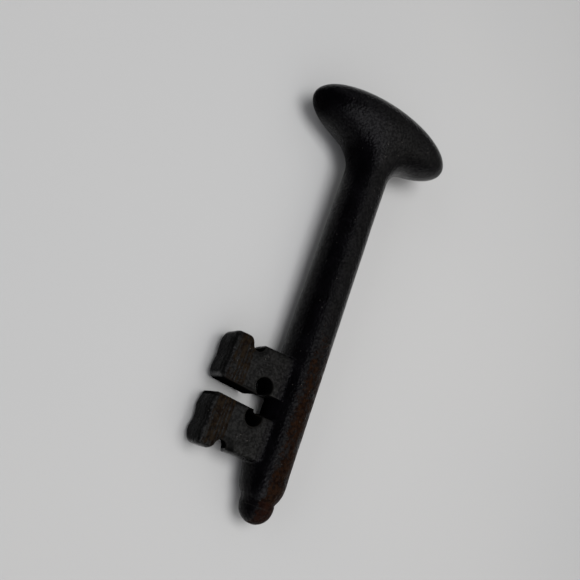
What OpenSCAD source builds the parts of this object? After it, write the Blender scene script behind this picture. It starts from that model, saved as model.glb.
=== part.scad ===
// Key-shaped hydrant wrench: oval palm knob, round shank, two-flag bit and ball nose.
// Modelled tool-wise (X up the shank, Y out along the bit) and then laid down
// the way the tool lies on a bench.

/* [Shank] */
// Diameter of the round shank
shank_d = 25; // [24:0.1:27]
// Distance from the middle of the bit slot up to the shoulder under the knob's neck
shank_up = 140; // [110:1:170]
// Diameter of the turned tenon that enters the knob
knob_tenon_d = 15; // [12:0.5:17]
// Length of the turned tenon that enters the knob
knob_tenon_len = 30; // [20:1:34]

/* [Knob] */
// Length of the oval knob, across the shank
knob_len = 94.8; // [80:0.2:110]
// Width of the oval knob, seen from above
knob_wid = 41.6; // [34:0.2:50]
// Height of the oval knob, measured along the shank
knob_high = 33; // [28:0.2:40]
// Height of the flared neck from the shank to the middle of the knob
neck_len = 33; // [30:0.5:40]

/* [Bit] */
// Thickness of both flags of the bit
bit_t = 18.6; // [14:0.2:20]
// Reach of the flags from the middle of the shank
bit_reach = 45.4; // [40:0.2:50]
// Width of the slot between the two flags
slot_w = 7.4; // [6.4:0.2:8.4]
// Width of each flag along the shank
flag_w = 25.4; // [24.6:0.2:27]
// Drop of each flag's outer edge between its notch and the shank
edge_step = 1.5; // [0:0.1:2]
// Widening of the slot between the holes and the shank, on each side
slot_relief = 1.9; // [0:0.1:2.8]
// Radius of the round hole at the inner end of each flag's slot edge
hole_r = 4.8; // [4:0.1:5.4]
// Distance of the holes from the middle of the shank
hole_y = 20.3; // [19:0.1:22]
// Radius of the round notch in each flag's outer edge
notch_r = 3.4; // [2.4:0.1:3.8]
// Distance of the notches from the middle of the shank
notch_y = 30.2; // [29.4:0.2:32]
// Depth of the shallow valley between the two lobes on a flag's end
lobe_dip = 0.8; // [0.6:0.1:1.6]

/* [Nose] */
// Diameter of the ball at the end of the nose
ball_d = 17.6; // [16.4:0.1:19]
// Distance from the middle of the slot to the joint in the ring groove
nose_x = 43.4; // [42:0.2:46]
// Diameter at the bottom of the ring groove
groove_d = 16.2; // [15:0.1:16.4]
// Length of the short cylindrical land between the groove and the ball
land_len = 2; // [1:0.1:3]
// Diameter of the stem that holds the nose in the shank
stem_d = 9; // [7:0.5:11]

/* [Lying pose] */
// Roll of the tool, which lets the bit droop
lie_roll = 4; // [0:0.1:4.4]

/* [Hidden] */
$fn = 96;

shank_r = shank_d / 2;
knob_a = knob_len / 2;
knob_b = knob_wid / 2;
knob_c = knob_high / 2;
knob_x = shank_up + neck_len;
flag_in = slot_w / 2;
flag_out = slot_w / 2 + flag_w;
hole_x = flag_in + 4.2;
ball_x = nose_x + 1.4 + land_len;
ball_r = ball_d / 2;
// blade tenon: width along the shank, half height and inner end
ten_w = 14;
ten_h = 5;
ten_y = 3;
ten_x = flag_in + (flag_w - ten_w) / 2;

// ---- lying pose: the tool rests on the knob and on the nose end of the shank
shoulder_x = 32;
knob_sup = sqrt(pow(knob_a * sin(lie_roll), 2) + pow(knob_b * cos(lie_roll), 2));
lie_pitch = atan((knob_sup - shank_r) / (knob_x + shoulder_x));
sr = sin(lie_roll);
cr = cos(lie_roll);
sp = sin(lie_pitch);
cp = cos(lie_pitch);
// height of a tool point once it is rolled and pitched
function up(x, y, z) = sp * x + cp * (-sr * y + cr * z);
// along-the-bench position of a tool point
function fore(x, y, z) = cp * x - sp * (-sr * y + cr * z);
function side(y, z) = cr * y + sr * z;
knob_low = sp * knob_x - sqrt(pow(sp * knob_c, 2) + pow(cp * sr * knob_a, 2) + pow(cp * cr * knob_b, 2));
shank_low = -sp * shoulder_x - cp * shank_r;
rest_z = min(knob_low, shank_low);
fore_max = cp * knob_x + sqrt(pow(cp * knob_c, 2) + pow(sp * sr * knob_a, 2) + pow(sp * cr * knob_b, 2));
fore_min = -cp * ball_x - ball_r;
side_knob = sqrt(pow(cr * knob_a, 2) + pow(sr * knob_b, 2));

module lay() {
    translate([-(fore_max + fore_min) / 2, 0, -rest_z])
        rotate([0, -lie_pitch, 0])
            rotate([-lie_roll, 0, 0])
                children();
}

module along_x() {
    rotate([0, 90, 0]) children();
}

// ---- knob and neck, as rings stacked along the shank
RING = 44;
function smooth(t) = let (u = max(0, min(1, t))) u * u * (3 - 2 * u);
// widening of the neck above the shank, along and across the oval
function flare(x, k) = shank_r + k * pow(max(0, (x - shank_up) / 22), 2.3);
function fade(x) = 1 - smooth((x - (knob_x - 10)) / 12);
function oval(x) = sqrt(max(0, 1 - pow((x - knob_x) / knob_c, 2)));
function half_a(x) = pow(pow(knob_a * oval(x), 5) + pow(flare(x, 11) * fade(x), 5), 0.2);
function half_b(x) = pow(pow(knob_b * oval(x), 5) + pow(flare(x, 2) * fade(x), 5), 0.2);
stations = concat(
    [for (i = [0:6]) shank_up + i * (knob_x - knob_c - shank_up) / 7],
    [for (t = [0:7.5:172.5]) knob_x - knob_c * cos(t)],
    [knob_x - knob_c * cos(176.5)]);
nst = len(stations);
ring_pts = [for (x = stations) let (a = min(half_a(x), knob_a), b = min(half_b(x), knob_b))
    for (j = [0:RING - 1]) [x, a * cos(j * 360 / RING), b * sin(j * 360 / RING)]];
knob_pts = concat(ring_pts, [[shank_up, 0, 0], [knob_x + knob_c, 0, 0]]);
side_faces = [for (i = [0:nst - 2]) for (j = [0:RING - 1]) let (k = (j + 1) % RING)
    [i * RING + j, i * RING + k, (i + 1) * RING + k, (i + 1) * RING + j]];
end_faces = concat(
    [for (j = [0:RING - 1]) [nst * RING, (j + 1) % RING, j]],
    [for (j = [0:RING - 1]) [nst * RING + 1, (nst - 1) * RING + j, (nst - 1) * RING + (j + 1) % RING]]);

module grip_knob() {
    color([0.10, 0.10, 0.11])
        lay()
            difference() {
                polyhedron(points = knob_pts, faces = concat(side_faces, end_faces), convexity = 4);
                translate([shank_up - 1, 0, 0])
                    along_x() cylinder(d = knob_tenon_d, h = knob_tenon_len + 1);
            }
}

// rounded shoulder that runs down into the ring groove
shoulder = [for (t = [0:10:90])
    let (u = t / 90)
    [shoulder_x + (nose_x - shoulder_x) * u,
     groove_d / 2 + (shank_r - groove_d / 2) * (0.5 + 0.5 * cos(180 * pow(u, 1.5)))]];

module flag_tenon(grow) {
    translate([ten_x, ten_y - grow, -ten_h])
        cube([ten_w, shank_r, 2 * ten_h]);
}

module shank() {
    color([0.14, 0.12, 0.11])
        lay()
            difference() {
                union() {
                    translate([-shoulder_x, 0, 0])
                        along_x() cylinder(d = shank_d, h = shank_up + shoulder_x);
                    translate([shank_up - 1, 0, 0])
                        along_x() cylinder(d = knob_tenon_d, h = knob_tenon_len + 1);
                    rotate([0, -90, 0])
                        rotate_extrude()
                            polygon(concat([[0, shoulder_x - 1], [shank_r, shoulder_x - 1]],
                                [for (p = shoulder) [p[1], p[0]]], [[0, nose_x]]));
                }
                flag_tenon(0);
                mirror([1, 0, 0]) flag_tenon(0);
                translate([-nose_x - 1, 0, 0])
                    along_x() cylinder(d = stem_d, h = 15);
            }
}

// outline of one flag, seen along its thickness
module flag_outline() {
    lobe = flag_w / 4;
    big = (lobe * lobe + lobe_dip * lobe_dip) / (2 * lobe_dip);
    difference() {
        union() {
            translate([flag_in, 4]) square([flag_w, bit_reach - 4 - lobe_dip]);
            intersection() {
                translate([flag_in, bit_reach - 8]) square([flag_w, 9]);
                union() {
                    translate([flag_in + lobe, bit_reach - big]) circle(r = big);
                    translate([flag_in + 3 * lobe, bit_reach - big]) circle(r = big);
                }
            }
        }
        translate([flag_in - 1, 3]) square([slot_relief + 1, hole_y - 3]);
        translate([hole_x, hole_y]) circle(r = hole_r);
        translate([flag_out - edge_step, 3]) square([edge_step + 1, notch_y - 3]);
        translate([flag_out - 2.8, notch_y]) circle(r = notch_r);
        translate([flag_out - 2.8, notch_y - notch_r * 0.9]) square([4, notch_r * 1.8]);
    }
}

module flag_body() {
    difference() {
        translate([0, 0, -bit_t / 2])
            linear_extrude(height = bit_t) flag_outline();
        along_x() translate([0, 0, -1]) cylinder(d = shank_d, h = flag_out + 2);
    }
    difference() {
        flag_tenon(0);
        translate([ten_x - 1, shank_r, -ten_h - 1]) cube([ten_w + 2, 8, 2 * ten_h + 2]);
    }
}

module upper_bit_flag() {
    color([0.20, 0.20, 0.21])
        lay() flag_body();
}

module lower_bit_flag() {
    color([0.20, 0.20, 0.21])
        lay() mirror([1, 0, 0]) flag_body();
}

module nose_pilot() {
    color([0.30, 0.16, 0.12])
        lay()
            union() {
                translate([-ball_x, 0, 0]) sphere(d = ball_d);
                translate([-ball_x, 0, 0])
                    along_x() cylinder(d = ball_d, h = land_len);
                translate([-ball_x, 0, 0])
                    along_x() cylinder(d = groove_d, h = ball_x - nose_x);
                translate([-nose_x - 1, 0, 0])
                    along_x() cylinder(d = stem_d, h = 15);
            }
}

grip_knob();
shank();
upper_bit_flag();
lower_bit_flag();
nose_pilot();
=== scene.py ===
import math

import bmesh
import bpy
import numpy as np
from mathutils import Matrix, Vector


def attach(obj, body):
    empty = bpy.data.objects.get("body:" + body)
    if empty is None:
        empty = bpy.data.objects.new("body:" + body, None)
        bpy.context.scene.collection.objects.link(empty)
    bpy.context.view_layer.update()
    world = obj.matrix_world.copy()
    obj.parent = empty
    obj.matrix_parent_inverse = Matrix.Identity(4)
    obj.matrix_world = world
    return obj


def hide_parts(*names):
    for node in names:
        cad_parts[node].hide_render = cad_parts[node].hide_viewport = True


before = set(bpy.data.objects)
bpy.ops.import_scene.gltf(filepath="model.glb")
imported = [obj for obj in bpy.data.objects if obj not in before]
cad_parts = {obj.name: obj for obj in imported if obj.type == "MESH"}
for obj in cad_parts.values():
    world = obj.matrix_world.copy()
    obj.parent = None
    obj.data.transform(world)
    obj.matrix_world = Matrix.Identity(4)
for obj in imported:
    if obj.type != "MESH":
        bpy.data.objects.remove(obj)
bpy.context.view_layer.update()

# ------------------------------------------------------------------ tool frame
# Lengths in this section are millimetres in the tool frame: x up the shank from
# the middle of the bit slot, y out along the bit, z across its faces.
SHANK_R = 12.5
KNOB_X = 173.0
KNOB = np.array([16.5, 47.4, 20.8])
FLAG_IN, FLAG_OUT, REACH, THICK = 3.6, 29.2, 45.4, 18.6
HOLE_X, HOLE_Y, HOLE_R = 7.9, 20.3, 4.8
NOTCH_X, NOTCH_Y, NOTCH_R = 26.4, 30.1, 3.3
BALL_X, BALL_R = 46.8, 8.8
JOINT_KNOB, JOINT_NOSE, JOINT_FLAG = 140.0, -43.4, 12.55
ROLL = math.radians(4.0)
SUP = math.hypot(KNOB[1] * math.sin(ROLL), KNOB[2] * math.cos(ROLL))
PITCH = math.atan((SUP - SHANK_R) / (KNOB_X + 32.0))

ROT = np.array(
    (Matrix.Rotation(-PITCH, 3, "Y") @ Matrix.Rotation(-ROLL, 3, "X"))
)
_knob_low = ROT[2, 0] * KNOB_X - np.linalg.norm(ROT[2] * KNOB)
_shank_low = -math.sin(PITCH) * 32.0 - math.cos(PITCH) * SHANK_R
_fore_max = ROT[0, 0] * KNOB_X + np.linalg.norm(ROT[0] * KNOB)
_fore_min = -math.cos(PITCH) * BALL_X - BALL_R
SHIFT = np.array([-(_fore_max + _fore_min) / 2, 0.0, -min(_knob_low, _shank_low)])


def to_row(p):
    """Tool frame, mm, to row frame, m."""
    return (p @ ROT.T + SHIFT) / 1000.0


def to_tool(q):
    return (q * 1000.0 - SHIFT) @ ROT


# ------------------------------------------------------------------ noise
_rng = np.random.default_rng(20331)
_perm = _rng.permutation(256)
_perm = np.concatenate([_perm, _perm, _perm])
_grads = _rng.normal(size=(256, 3))
_grads /= np.linalg.norm(_grads, axis=1)[:, None]


def perlin(p):
    """Gradient noise, about -0.7 to 0.7, at points p (N, 3)."""
    i = np.floor(p).astype(np.int64)
    f = p - i
    i &= 255
    u = f * f * f * (f * (f * 6 - 15) + 10)
    out = np.zeros(len(p))
    for dx in (0, 1):
        wx = u[:, 0] if dx else 1 - u[:, 0]
        for dy in (0, 1):
            wy = u[:, 1] if dy else 1 - u[:, 1]
            for dz in (0, 1):
                wz = u[:, 2] if dz else 1 - u[:, 2]
                h = _perm[_perm[_perm[(i[:, 0] + dx) & 255] + ((i[:, 1] + dy) & 255)] + ((i[:, 2] + dz) & 255)]
                g = _grads[h]
                out += wx * wy * wz * ((f[:, 0] - dx) * g[:, 0] + (f[:, 1] - dy) * g[:, 1] + (f[:, 2] - dz) * g[:, 2])
    return out


def fbm(p, octaves=3, gain=0.5):
    a, s, tot = 1.0, np.zeros(len(p)), 0.0
    q = p.copy()
    for k in range(octaves):
        s += a * perlin(q + 17.3 * k)
        tot += a
        a *= gain
        q = q * 2.03
    return s / tot


def sstep(a, b, x):
    t = np.clip((x - a) / (b - a), 0, 1)
    return t * t * (3 - 2 * t)


# ------------------------------------------------------------------ shape
def smin(a, b, k):
    h = np.maximum(k - np.abs(a - b), 0.0) / k
    return np.minimum(a, b) - h * h * k * 0.25


def smax(a, b, k):
    return -smin(-a, -b, k)


_px = np.arange(-70.0, 200.0, 0.1)
_ker = np.exp(-0.5 * (np.arange(-30, 31) / 9.0) ** 2)


def _profile(xs, rs):
    r = np.interp(_px, xs, rs)
    return np.convolve(np.pad(r, 30, mode="edge"), _ker / _ker.sum(), mode="valid")


# Radius along the bar, on the bit's side and on the far side: the shoulder above
# the ring groove is longer on the far side.
_near = _profile(
    [-70, -44.9, -44.2, -43.5, -42.4, -40.8, -39.0, -36.0, -30.0, -26.0, 200.0],
    [8.5, 8.5, 8.6, 9.2, 10.1, 10.9, 11.5, 12.0, 12.4, 12.5, 12.5],
)
_far = _profile(
    [-70, -45.6, -44.8, -43.6, -41.8, -39.6, -37.0, -34.0, -31.0, -28.0, 120.0, 156.0, 200.0],
    [7.9, 7.9, 8.0, 8.7, 9.8, 10.9, 11.7, 12.25, 12.45, 12.5, 12.5, 12.9, 12.9],
)


def lean(x):
    """Sideways lean of the cast nose."""
    return -1.5 * sstep(-27, -45, x)


def bar(x, y, z):
    yy = y - lean(x)
    ry = np.hypot(yy, z)
    w = 0.5 + 0.5 * yy / np.maximum(ry, 1e-6)
    r = w * np.interp(x, _px, _near) + (1 - w) * np.interp(x, _px, _far)
    ry = np.hypot(ry, np.maximum(x - 151.0, 0.0))
    return np.maximum((ry - r) * 0.8, -46.5 - x)


def nose(x, y, z):
    yy = y - lean(x)
    rr = np.hypot(yy, z)
    land = smax(rr - BALL_R, np.abs(x + BALL_X - 1.0) - 1.05, 0.9)
    ball = np.sqrt((x + BALL_X) ** 2 + yy**2 + z**2) - BALL_R
    ball = np.maximum(ball, x + BALL_X)
    return np.minimum(land, ball)


def knob(x, y, z):
    p = np.stack([x - KNOB_X, y, z], -1)
    k0 = np.linalg.norm(p / KNOB, axis=-1)
    k1 = np.linalg.norm(p / KNOB**2, axis=-1)
    return k0 * (k0 - 1.0) / np.maximum(k1, 1e-6)


def flag(x, y, z, upper):
    u = x if upper else -x
    # the slot runs slightly askew, as cast
    askew = np.clip(0.1 + 0.07 * (y - 31.5), -0.6, 0.9) * (1 if upper else -1)
    t = (u - FLAG_IN) / (FLAG_OUT - FLAG_IN)
    dip = 0.5 if upper else 0.9
    end = REACH - dip * 0.5 * (1 + np.cos(4 * math.pi * np.clip(t, 0, 1)))
    low = np.clip((THICK / 2 - z) / THICK, 0, 1)
    inner = FLAG_IN + askew + 1.9 * sstep(19.0, 16.5, y)
    if not upper:
        # a lip of flash at the foot of the hole
        inner = inner - 2.3 * low * sstep(25.5, 23.0, y)
    step = 1.7 if upper else 1.3
    out = FLAG_OUT + 0.1 - step * sstep(34.0, 30.0, y)
    # the outer edge of the bit falls away towards both faces
    soft = 3.4 if upper else 5.2
    soft = np.where(z < 0, soft + 2.0, soft)
    d = smax(u - out, np.abs(z) - THICK / 2, soft)
    d = smax(d, inner - u, 1.4)
    d = smax(d, y - end, 4.2 if upper else 3.0)
    # notch, drafted wider towards the lower face
    open_up = low * (0.5 if upper else 2.8)
    shift = 0.0 if upper else 2.0
    cut = NOTCH_R - 0.2 * shift + open_up - np.hypot(u - NOTCH_X, y - NOTCH_Y - shift + open_up * 0.9)
    d = smax(d, cut, 0.8)
    d = smax(d, 0.75 * (u - 26.4) - np.abs(y - NOTCH_Y - 1.2 - 0.6 * shift) + 2.0, 0.9)
    if upper:
        bore = HOLE_R - np.hypot(u - HOLE_X, y - HOLE_Y)
    else:
        bore = HOLE_R - 1.0 * low - np.hypot(u - HOLE_X + 0.4 - 1.2 * low, y - HOLE_Y)
    d = smax(d, bore, 0.6)
    d = smax(d, smax(y - end, np.abs(z) - THICK / 2, 4.2), 0.8)
    d = smax(d, np.abs(z) - THICK / 2, 1.5)
    return np.maximum(d, -y)


def tool(x, y, z):
    d = smin(bar(x, y, z), knob(x, y, z), 15.0)
    d = smin(d, nose(x, y, z), 1.3)
    bit = np.minimum(flag(x, y, z, True), flag(x, y, z, False))
    chamfer = 0.72 * (d + bit - 0.5)
    d = smin(smin(d, bit, 0.5), chamfer, 0.5)
    return d


def tool_p(p):
    return tool(p[:, 0], p[:, 1], p[:, 2])


def gradient(p, e=0.05):
    g = np.empty_like(p)
    for a in range(3):
        q = p.copy()
        q[:, a] += e
        r = p.copy()
        r[:, a] -= e
        g[:, a] = (tool_p(q) - tool_p(r)) / (2 * e)
    return g


# ------------------------------------------------------------------ skin
def net(lo, hi, h):
    """Quads over the zero surface of tool() inside a box."""
    n = np.ceil((np.array(hi) - np.array(lo)) / h).astype(int) + 1
    ax = [lo[a] + h * np.arange(n[a]) for a in range(3)]
    field = np.empty(n, np.float32)
    Y, Z = np.meshgrid(ax[1], ax[2], indexing="ij")
    for i, x in enumerate(ax[0]):
        field[i] = tool(np.full_like(Y, x), Y, Z)
    neg = field < 0
    c = n - 1
    cnt = np.zeros(c, np.int8)
    for dx in (0, 1):
        for dy in (0, 1):
            for dz in (0, 1):
                cnt += neg[dx : dx + c[0], dy : dy + c[1], dz : dz + c[2]]
    active = np.argwhere((cnt > 0) & (cnt < 8))
    index = np.full(c, -1, np.int64)
    index[tuple(active.T)] = np.arange(len(active))
    corner = np.array([(a, b, d) for a in (0, 1) for b in (0, 1) for d in (0, 1)])
    val = np.stack([field[tuple((active + k).T)] for k in corner], 1).astype(float)
    acc = np.zeros((len(active), 3))
    num = np.zeros(len(active))
    for i in range(8):
        for j in range(i + 1, 8):
            if np.abs(corner[i] - corner[j]).sum() != 1:
                continue
            a, b = val[:, i], val[:, j]
            cross = (a < 0) != (b < 0)
            t = np.where(cross, a / np.where(cross, a - b, 1), 0)
            acc += np.where(cross[:, None], corner[i] + t[:, None] * (corner[j] - corner[i]), 0)
            num += cross
    verts = (active + acc / num[:, None]) * h + np.array(lo)
    quads = []
    for a in range(3):
        b, d = (a + 1) % 3, (a + 2) % 3
        s0 = [slice(None)] * 3
        s1 = [slice(None)] * 3
        s0[a], s1[a] = slice(0, -1), slice(1, None)
        flip = neg[tuple(s0)] != neg[tuple(s1)]
        e = np.argwhere(flip)
        e = e[(e[:, b] > 0) & (e[:, d] > 0) & (e[:, b] < c[b]) & (e[:, d] < c[d])]
        ub = np.zeros(3, int)
        ud = np.zeros(3, int)
        ub[b] = 1
        ud[d] = 1
        q = np.stack([index[tuple(k.T)] for k in (e - ub - ud, e - ud, e, e - ub)], 1)
        inside = neg[tuple(e.T)]
        q[~inside] = q[~inside][:, ::-1]
        quads.append(q)
    return verts, np.concatenate(quads)


STEP = 0.5
verts, quads = net((-58.0, -50.0, -24.0), (192.0, 50.0, 24.0), STEP)
for _ in range(4):
    g = gradient(verts)
    move = -(tool_p(verts) / np.maximum((g**2).sum(1), 0.05))[:, None] * g
    length = np.linalg.norm(move, axis=1)
    verts += move * np.minimum(1, 0.6 * STEP / np.maximum(length, 1e-9))[:, None]
normals = gradient(verts)
normals /= np.linalg.norm(normals, axis=1)[:, None]

# The cast skin: slow hollows, lumps left by the sand, and grain.
on_bit = sstep(12.5, 16.0, verts[:, 1]) * (np.abs(verts[:, 0]) < 34)
skin = 0.10 * fbm(verts / 16.0, 2) + 0.07 * fbm(verts / 5.0 + 9.1, 2)
skin += 0.06 * fbm(verts / 2.0 + 31.7, 2)
skin += on_bit * (0.10 * fbm(verts / 4.0 + 3.3, 2))
pits = fbm(verts / 2.6 + 55.0, 2)
skin -= 0.16 * sstep(0.30, 0.48, pits)
verts = verts + normals * skin[:, None]


def build(name, v, f):
    me = bpy.data.meshes.new(name)
    me.from_pydata(v.tolist(), [], f.tolist())
    me.validate()
    return me


whole = build("whole", verts, quads)


def part_of(name, cuts, region=None):
    """Cuts the whole skin with planes (point, kept side) and closes each cut flat."""
    bm = bmesh.new()
    bm.from_mesh(whole)
    if region is not None:
        doomed = [v for v in bm.verts if not region(v.co)]
        bmesh.ops.delete(bm, geom=doomed, context="VERTS")
    for co, no in cuts:
        geom = bm.verts[:] + bm.edges[:] + bm.faces[:]
        bmesh.ops.bisect_plane(bm, geom=geom, dist=1e-5, plane_co=co, plane_no=no, clear_inner=True)
        rim = [e for e in bm.edges if e.is_boundary and all(abs((v.co - Vector(co)).dot(Vector(no))) < 1e-3 for v in e.verts)]
        caps = bmesh.ops.holes_fill(bm, edges=rim, sides=0)["faces"] if rim else []
        for e in rim:
            e.smooth = False
        bmesh.ops.triangulate(bm, faces=caps)
    loose = [v for v in bm.verts if not v.link_faces]
    bmesh.ops.delete(bm, geom=loose, context="VERTS")
    me = bpy.data.meshes.new(name)
    bm.to_mesh(me)
    bm.free()
    return me


FAR = 400.0
meshes = {
    "knob_casting": part_of("knob_casting", [((JOINT_KNOB, 0, 0), (1, 0, 0))]),
    "nose_casting": part_of("nose_casting", [((JOINT_NOSE, 0, 0), (-1, 0, 0))]),
    "upper_flag_casting": part_of(
        "upper_flag_casting", [((0, JOINT_FLAG, 0), (0, 1, 0))], lambda c: 2.5 < c.x < 34 and c.y > 4
    ),
    "lower_flag_casting": part_of(
        "lower_flag_casting", [((0, JOINT_FLAG, 0), (0, 1, 0))], lambda c: -34 < c.x < -2.5 and c.y > 4
    ),
    "shank_bar": part_of(
        "shank_bar",
        [((JOINT_KNOB, 0, 0), (-1, 0, 0)), ((JOINT_NOSE, 0, 0), (1, 0, 0)), ((0, JOINT_FLAG, 0), (0, -1, 0))],
    ),
}

NODE = {
    "knob_casting": ("grip_knob", "knob_black"),
    "shank_bar": ("shank", "shank_black"),
    "upper_flag_casting": ("upper_bit_flag", "bit_black"),
    "lower_flag_casting": ("lower_bit_flag", "bit_black"),
    "nose_casting": ("nose_pilot", "nose_rust"),
}


# ------------------------------------------------------------------ materials
class Nodes:
    """Small helper over one material's node tree."""

    def __init__(self, name):
        self.mat = bpy.data.materials.new(name)
        self.mat.use_nodes = True
        self.t = self.mat.node_tree
        self.bsdf = next(n for n in self.t.nodes if n.type == "BSDF_PRINCIPLED")
        self.out = next(n for n in self.t.nodes if n.type == "OUTPUT_MATERIAL")

    def put(self, sock, v):
        if isinstance(v, bpy.types.NodeSocket):
            self.t.links.new(v, sock)
        elif isinstance(v, (tuple, list)):
            sock.default_value = v if len(v) == len(sock.default_value) else (*v, 1.0)
        else:
            sock.default_value = v

    def attr(self, name):
        n = self.t.nodes.new("ShaderNodeAttribute")
        n.attribute_name = name
        return n

    def math(self, op, a, b=0.0, c=0.0, clamp=False):
        n = self.t.nodes.new("ShaderNodeMath")
        n.operation = op
        n.use_clamp = clamp
        for i, v in enumerate((a, b, c)):
            self.put(n.inputs[i], v)
        return n.outputs[0]

    def noise(self, vec, scale, detail=4.0, rough=0.55, distort=0.0):
        n = self.t.nodes.new("ShaderNodeTexNoise")
        self.put(n.inputs["Vector"], vec)
        n.inputs["Scale"].default_value = scale
        n.inputs["Detail"].default_value = detail
        n.inputs["Roughness"].default_value = rough
        n.inputs["Distortion"].default_value = distort
        return n.outputs["Fac"]

    def voronoi(self, vec, scale, feature="F1"):
        n = self.t.nodes.new("ShaderNodeTexVoronoi")
        n.feature = feature
        self.put(n.inputs["Vector"], vec)
        n.inputs["Scale"].default_value = scale
        return n.outputs["Distance"], n.outputs["Color"]

    def stretch(self, vec, x, y, z):
        n = self.t.nodes.new("ShaderNodeVectorMath")
        n.operation = "MULTIPLY"
        self.put(n.inputs[0], vec)
        n.inputs[1].default_value = (x, y, z)
        return n.outputs[0]

    def band(self, v, a, b, lo=0.0, hi=1.0):
        n = self.t.nodes.new("ShaderNodeMapRange")
        n.interpolation_type = "SMOOTHSTEP"
        self.put(n.inputs["Value"], v)
        n.inputs["From Min"].default_value = a
        n.inputs["From Max"].default_value = b
        n.inputs["To Min"].default_value = lo
        n.inputs["To Max"].default_value = hi
        return n.outputs["Result"]

    def mix(self, f, a, b):
        n = self.t.nodes.new("ShaderNodeMix")
        n.data_type = "RGBA"
        self.put(n.inputs[0], f)
        self.put(n.inputs[6], a)
        self.put(n.inputs[7], b)
        return n.outputs[2]

    def bump(self, height, strength, dist, under=None):
        n = self.t.nodes.new("ShaderNodeBump")
        n.inputs["Strength"].default_value = strength
        n.inputs["Distance"].default_value = dist
        self.put(n.inputs["Height"], height)
        if under is not None:
            self.put(n.inputs["Normal"], under)
        return n.outputs["Normal"]


SHEEN = 0.10
BROWN = ((0.0026, 0.0008, 0.0003), (0.0080, 0.0030, 0.0010), (0.0200, 0.0108, 0.0052))
OLIVE = ((0.0022, 0.0010, 0.0005), (0.0068, 0.0042, 0.0020), (0.0220, 0.0160, 0.0092))
DEEP = ((0.0034, 0.0008, 0.0004), (0.0074, 0.0022, 0.0010), (0.0180, 0.0085, 0.0044))


def iron(name, paint, paint_rough, grain, tones, sheen=1.0):
    """Black paint over cast iron. Coordinates are the mesh's own tool-frame millimetres."""
    m = Nodes(name)
    at = m.attr("tool_mm").outputs["Vector"]
    rust_zone = m.attr("rust").outputs["Fac"]
    edge_zone = m.attr("edge").outputs["Fac"]
    # Paint gloss cut on raw cast walls, and painted shade: reflections cut where the mirrored room lies in shade.
    gloss_cut_shade = m.attr("gloss_cut_shade").outputs["Fac"]
    # tone of the paint
    cloud = m.noise(at, 0.09, 4, 0.6)
    tone = m.band(cloud, 0.35, 0.68)
    fine = m.noise(at, 0.85, 2, 0.5)
    dark = tuple(c * 0.55 for c in paint)
    colour = m.mix(tone, dark, paint)
    colour = m.mix(m.band(fine, 0.62, 0.75, 0, 0.5), colour, tuple(c * 1.9 for c in paint))
    # rust
    blotch = m.noise(at, 0.33, 6, 0.68, 0.4)
    speck = m.noise(at, 1.15, 5, 0.7)
    dense = m.math("ADD", m.math("MULTIPLY", blotch, 0.55), m.math("MULTIPLY", speck, 0.45))
    cut = m.math("SUBTRACT", 1.0, rust_zone)
    over = m.math("SUBTRACT", dense, m.math("MULTIPLY_ADD", cut, 0.42, 0.33))
    rust = m.band(over, 0.0, 0.12)
    hue = m.noise(at, 0.5, 3, 0.5)
    rust_dark, rust_mid, rust_light = tones
    rc = m.mix(m.band(hue, 0.38, 0.6), rust_dark, rust_mid)
    rc = m.mix(m.band(speck, 0.58, 0.74, 0, 0.65), rc, rust_light)
    pits = m.noise(at, 1.9, 3, 0.6)
    rc = m.mix(m.band(pits, 0.56, 0.66, 0, 0.85), rc, tuple(c * 0.12 for c in rust_dark))
    colour = m.mix(m.math("MULTIPLY", rust, 0.92), colour, rc)
    # paint rubbed off along edges and as small chips
    chipd, chipc = m.voronoi(at, 0.62)
    chip_pick = m.t.nodes.new("ShaderNodeSeparateColor")
    m.put(chip_pick.inputs[0], chipc)
    rare = m.math("MULTIPLY", m.math("GREATER_THAN", chip_pick.outputs[0], 0.942), m.math("SUBTRACT", 1.0, gloss_cut_shade))
    near = m.band(chipd, 0.07, 0.22, 1, 0)
    chips = m.math("MULTIPLY", rare, near)
    worn = m.band(m.math("ADD", edge_zone, m.math("MULTIPLY", m.math("SUBTRACT", speck, 0.5), 1.3)), 0.62, 0.86)
    bare = m.math("MAXIMUM", m.math("MULTIPLY", worn, 0.06), chips)
    colour = m.mix(bare, colour, (0.045, 0.042, 0.038))
    m.put(m.bsdf.inputs["Base Color"], colour)
    # sheen
    r = m.band(cloud, 0.3, 0.7, paint_rough - 0.05, paint_rough + 0.07)
    r = m.math("ADD", r, m.math("MULTIPLY", rust, 0.22))
    r = m.math("SUBTRACT", r, m.math("MULTIPLY", bare, 0.12))
    m.put(m.bsdf.inputs["Roughness"], r)
    # Gloss is cut by the mask, which paints shade into the reflections as well as dulling raw cast walls.
    gloss = m.math("MULTIPLY", m.math("SUBTRACT", 1.0, gloss_cut_shade), SHEEN * sheen)
    gloss = m.math("MULTIPLY", gloss, m.band(fine, 0.38, 0.60, 0.57, 1.40))
    gloss = m.math("MULTIPLY", gloss, m.math("MULTIPLY_ADD", rust, -0.7, 1.0))
    m.put(m.bsdf.inputs["Specular IOR Level"], gloss)
    m.put(m.bsdf.inputs["Metallic"], m.math("MULTIPLY", chips, 0.7))
    # sand-cast grain and rust crust
    g1 = m.noise(at, 0.72, 1.5, 0.45)
    g2 = m.noise(at, 2.2, 2, 0.6)
    h = m.math("ADD", m.math("MULTIPLY", g1, 0.8), m.math("MULTIPLY", g2, 0.2))
    crust = m.math("MULTIPLY", rust, m.math("ADD", speck, m.math("MULTIPLY", g2, 0.8)))
    n1 = m.bump(h, grain, 0.00038)
    n2 = m.bump(crust, 0.5, 0.0002, n1)
    n3 = m.bump(m.math("SUBTRACT", 0.0, bare), 0.5, 0.00008, n2)
    m.put(m.bsdf.inputs["Normal"], n3)
    return m.mat


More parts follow.
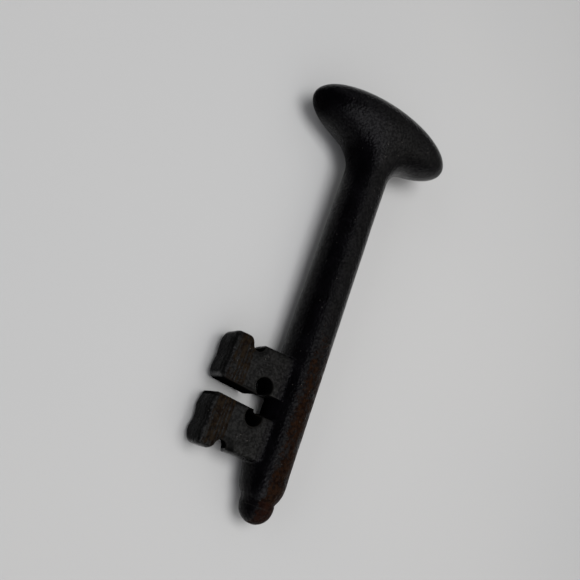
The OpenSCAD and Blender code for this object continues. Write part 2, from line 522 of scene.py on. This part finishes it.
mats = {
    "knob_black": iron("knob_black", (0.0009, 0.0008, 0.0011), 0.21, 1.0, BROWN),
    "shank_black": iron("shank_black", (0.0009, 0.0008, 0.0011), 0.21, 1.0, BROWN),
    # The bit's copy of the black paint is lighter and 1.2 times glossier than the bar's: painted sheen for the
    # brighter light on its flat faces.
    "bit_black": iron("bit_black", (0.0020, 0.0020, 0.0020), 0.24, 1.0, OLIVE, 1.2),
    "nose_rust": iron("nose_rust", (0.0012, 0.0010, 0.0013), 0.24, 1.0, DEEP),
}


def masks(p):
    """Where rust sits, from 0 to 1, at tool-frame points."""
    x, y, z = p.T
    n = fbm(p / 11.0 + 4.0, 3)
    # the far side of the lower half of the bar, thicker towards the nose
    side_of_bar = sstep(0.25, -0.45, (y * 0.9 - z * 0.35) / 12.5)
    along = sstep(108, 5, x)
    patch = fbm(p / np.array([9.0, 3.2, 3.2]) + 57.0, 3)
    bar_rust = np.clip(along * 1.1 * side_of_bar * (0.86 + 0.7 * patch) + 0.25 * n, 0, 1) * (x < 150)
    nose_rust = sstep(-30, -42, x) * np.clip(0.30 + 0.75 * sstep(5.0, -1.5, y) + 0.5 * n, 0, 1.05)
    rust = np.maximum(bar_rust * 0.95, nose_rust)
    on_flag = (y > 12.6) & (np.abs(x) < 32)
    band = sstep(29.5, 33.0, y + 1.6 * n) * sstep(43.2, 41.0, y + 1.2 * n)
    streak = perlin(np.stack([x / 22.0, y / 0.9, z / 9.0], 1) + 71.0)
    flag_rust = (0.82 + 0.95 * streak) * band * sstep(7.0, 8.8, np.abs(z)) + 0.3 * sstep(0.05, 0.45, n)
    hole = np.exp(-((np.hypot(np.abs(x) - HOLE_X, y - HOLE_Y) - HOLE_R) / 1.4) ** 2) * (x < 0) * 0.6
    rust = np.where(on_flag, np.maximum(flag_rust, hole), rust)
    return np.clip(rust, 0, 1)


def gloss_cut_shade_zone(p):
    """Where paint gloss is cut, 0 to 1: raw cast walls in the slot, holes and notches, whose cut gloss also paints
    their shade, and painted shade on the bit's end faces, the knob's flank, the bar's far side, the bar beside the
    bit and the nose tip, where the mirrored room lies in shade.
    """
    x, y, z = p.T
    nx, ny, nz = gradient(p).T
    u = np.abs(x)
    inside = sstep(THICK / 2 + 0.1, THICK / 2 - 0.9, np.abs(z))
    slot = sstep(FLAG_IN + 1.9, FLAG_IN + 1.1, u) * sstep(7.0, 9.0, y)
    hole = sstep(HOLE_R + 1.0, HOLE_R + 0.5, np.hypot(u - HOLE_X, y - HOLE_Y))
    notch = sstep(NOTCH_R + 2.6, NOTCH_R + 2.0, np.hypot(u - NOTCH_X, y - NOTCH_Y)) * sstep(19, 21, u)
    notch *= sstep(27.4, 26.4, u)
    deep = np.maximum(np.maximum(slot, hole), notch) * inside
    # Painted shade from here on: reflections cut on the bit's end faces, the knob's flank, the bar's far side, beside
    # the bit and at the nose tip.
    ends = 0.94 * sstep(0.5, 0.85, ny) * sstep(40, 43, y) * (u < 34)
    flank = 0.9 * sstep(126, 142, x) * sstep(0.22, 0.52, ny) * sstep(0.35, -0.05, nx) * sstep(0.90, 0.76, nz)
    far = 0.84 * sstep(-0.52, -0.80, ny)
    side = sstep(0.30, 0.62, ny) * sstep(13.4, 12.4, y) * (x > -44) * (x < 128)
    far = np.maximum(far, 0.30 * side)
    tip = 0.5 * sstep(-44, -48, x) * sstep(1.0, 4.0, y)
    flank = np.maximum(flank, np.maximum(far, tip))
    return np.clip(np.maximum(deep, np.maximum(ends, flank)), 0, 1)


def convex(p, e=0.7):
    """A 0-1 mark of convex edges, from the curvature of the shape itself."""
    lap = -6.0 * tool_p(p)
    for a in range(3):
        for sgn in (-e, e):
            q = p.copy()
            q[:, a] += sgn
            lap += tool_p(q)
    return sstep(0.26, 0.62, lap / e**2)


pieces = {}
for name, me in meshes.items():
    node, slot = NODE[name]
    n = len(me.vertices)
    co = np.empty(n * 3)
    me.vertices.foreach_get("co", co)
    p = co.reshape(-1, 3)
    edge = convex(p)
    rust = masks(p)
    me.vertices.foreach_set("co", to_row(p).ravel())
    me.polygons.foreach_set("use_smooth", np.ones(len(me.polygons), bool))
    a = me.attributes.new("tool_mm", "FLOAT_VECTOR", "POINT")
    a.data.foreach_set("vector", p.ravel())
    a = me.attributes.new("rust", "FLOAT", "POINT")
    a.data.foreach_set("value", rust.astype(np.float32))
    a = me.attributes.new("gloss_cut_shade", "FLOAT", "POINT")
    a.data.foreach_set("value", gloss_cut_shade_zone(p).astype(np.float32))
    a = me.attributes.new("edge", "FLOAT", "POINT")
    a.data.foreach_set("value", edge.astype(np.float32))
    me.update()
    me.materials.append(mats[slot])
    ob = bpy.data.objects.new(name, me)
    bpy.context.scene.collection.objects.link(ob)
    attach(ob, "root")
    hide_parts(node)
    pieces[name] = ob

# ------------------------------------------------------------------ floor, light, camera
floor_me = bpy.data.meshes.new("table_top")
s = 6.0
floor_me.from_pydata([(-s, -s, 0), (s, -s, 0), (s, s, 0), (-s, s, 0)], [], [(0, 1, 2, 3)])
floor = bpy.data.objects.new("table_top", floor_me)
bpy.context.scene.collection.objects.link(floor)
fl = Nodes("table_paint")
co = fl.t.nodes.new("ShaderNodeTexCoord").outputs["Object"]
big = fl.noise(co, 3.0, 3, 0.5)
tiny = fl.noise(co, 900.0, 2, 0.5)
col = fl.mix(fl.band(big, 0.3, 0.7), (0.300, 0.302, 0.304), (0.308, 0.308, 0.308))
col = fl.mix(fl.band(tiny, 0.70, 0.76, 0, 0.25), col, (0.22, 0.215, 0.21))
# Painted shade: the table's colour darkens towards +Y, the bit's side, for the dimmer light there.
sy = fl.t.nodes.new("ShaderNodeSeparateXYZ")
fl.put(sy.inputs[0], co)
tint = fl.band(sy.outputs[1], -0.22, 0.30, 0.0, 0.16)
col = fl.mix(tint, col, (0.10, 0.10, 0.10))
fl.put(fl.bsdf.inputs["Base Color"], col)
fl.bsdf.inputs["Roughness"].default_value = 0.5
fl.bsdf.inputs["Specular IOR Level"].default_value = 0.3
floor_me.materials.append(fl.mat)

SKY = 1.05
world = bpy.data.worlds.new("room")
bpy.context.scene.world = world
world.use_nodes = True
wt = world.node_tree
bg = next(n for n in wt.nodes if n.type == "BACKGROUND")
tc = wt.nodes.new("ShaderNodeTexCoord")
sep = wt.nodes.new("ShaderNodeSeparateXYZ")
wt.links.new(tc.outputs["Generated"], sep.inputs[0])


def wmap(sock, a, b, lo, hi):
    n = wt.nodes.new("ShaderNodeMapRange")
    n.interpolation_type = "SMOOTHSTEP"
    wt.links.new(sock, n.inputs["Value"])
    n.inputs["From Min"].default_value = a
    n.inputs["From Max"].default_value = b
    n.inputs["To Min"].default_value = lo
    n.inputs["To Max"].default_value = hi
    return n.outputs["Result"]




def wdot(v):
    n = wt.nodes.new("ShaderNodeVectorMath")
    n.operation = "DOT_PRODUCT"
    wt.links.new(tc.outputs["Generated"], n.inputs[0])
    n.inputs[1].default_value = tuple(float(c) for c in v)
    return n.outputs["Value"]


def wop(op, a, b=0.0, c=None):
    n = wt.nodes.new("ShaderNodeMath")
    n.operation = op
    args = (a, b) if c is None else (a, b, c)
    for i, v in enumerate(args):
        if isinstance(v, bpy.types.NodeSocket):
            wt.links.new(v, n.inputs[i])
        else:
            n.inputs[i].default_value = v
    return n.outputs[0]


# The room: bright above and all round, with one dark figure standing over the
# bit's side of the table.
over = wdot(ROT @ np.array([0.0, 1.0, 0.0]))
along = wdot(ROT @ np.array([1.0, 0.0, 0.0]))
height = wdot((0.0, 0.0, 1.0))
reach = wop("MULTIPLY_ADD", along, 0.25, over)
figure = wop("MULTIPLY", wmap(reach, 0.12, 0.20, 0.0, 1.0), wmap(along, 0.50, 0.60, 1.0, 0.12))
level = wop("SUBTRACT", 1.0, wop("MULTIPLY", figure, 0.985))
# it is dimmer towards the back of the room
back = wop("MULTIPLY", wmap(over, -0.75, -0.16, 1.0, 0.0), wmap(along, 0.05, 0.55, 0.48, 0.12))
level = wop("MULTIPLY", level, wop("SUBTRACT", 1.0, back))
level = wop("MULTIPLY", level, wmap(height, 0.05, 0.72, 0.10, 1.0))
level = wop("MULTIPLY", level, wmap(along, -0.45, 0.75, 1.9, 0.45))
level = wop("MULTIPLY", level, SKY)
wt.links.new(level, bg.inputs["Strength"])
tint = wt.nodes.new("ShaderNodeMix")
tint.data_type = "RGBA"
wt.links.new(wmap(over, -0.45, 0.15, 0.0, 1.0), tint.inputs[0])
tint.inputs[6].default_value = (1.02, 1.0, 0.955, 1.0)
tint.inputs[7].default_value = (0.97, 0.97, 1.04, 1.0)
wt.links.new(tint.outputs[2], bg.inputs["Color"])


def area(name, loc, target, size, power, colour=(1, 1, 1)):
    li = bpy.data.lights.new(name, "AREA")
    li.shape = "RECTANGLE"
    li.size, li.size_y = size
    li.energy = power
    li.color = colour
    ob = bpy.data.objects.new(name, li)
    bpy.context.scene.collection.objects.link(ob)
    ob.location = loc
    ob.rotation_euler = (Vector(target) - Vector(loc)).to_track_quat("-Z", "Y").to_euler()
    return ob


# Overhead lamps that light the table; the tool itself mirrors only the room.
lamp = area("ceiling_lamp", (0.02, 0.09, 1.05), (0, 0, 0), (0.55, 0.62), 13.3, (1.0, 0.995, 0.985))
lamp.visible_glossy = False
side = area("fill", (-0.1, 1.25, 0.75), (0, 0, 0), (1.5, 0.7), 7.5, (0.98, 0.99, 1.0))
side.visible_glossy = False

# Camera, placed in the tool frame and turned into the row frame.
CAM_POS = np.array([-42.13, 169.53, 314.50])
CAM_R = np.array(
    [
        [0.32309729, -0.8100213, 0.48936043],
        [-0.90190317, -0.42019092, -0.10005126],
        [0.28666846, -0.40902943, -0.86632333],
    ]
)
FOCAL = 685.476
right, down, fwd = (CAM_R @ ROT.T)
loc = to_row(CAM_POS[None])[0]
cam_data = bpy.data.cameras.new("camera")
cam = bpy.data.objects.new("camera", cam_data)
bpy.context.scene.collection.objects.link(cam)
cam.matrix_world = Matrix(
    [
        [right[0], -down[0], -fwd[0], loc[0]],
        [right[1], -down[1], -fwd[1], loc[1]],
        [right[2], -down[2], -fwd[2], loc[2]],
        [0, 0, 0, 1],
    ]
)
cam_data.sensor_width = 36.0
cam_data.lens = FOCAL / 580.0 * 36.0
cam_data.clip_start = 0.01
bpy.context.scene.camera = cam

bpy.context.scene.view_settings.view_transform = "Standard"
bpy.context.scene.view_settings.look = "None"
bpy.context.scene.view_settings.exposure = 0.0
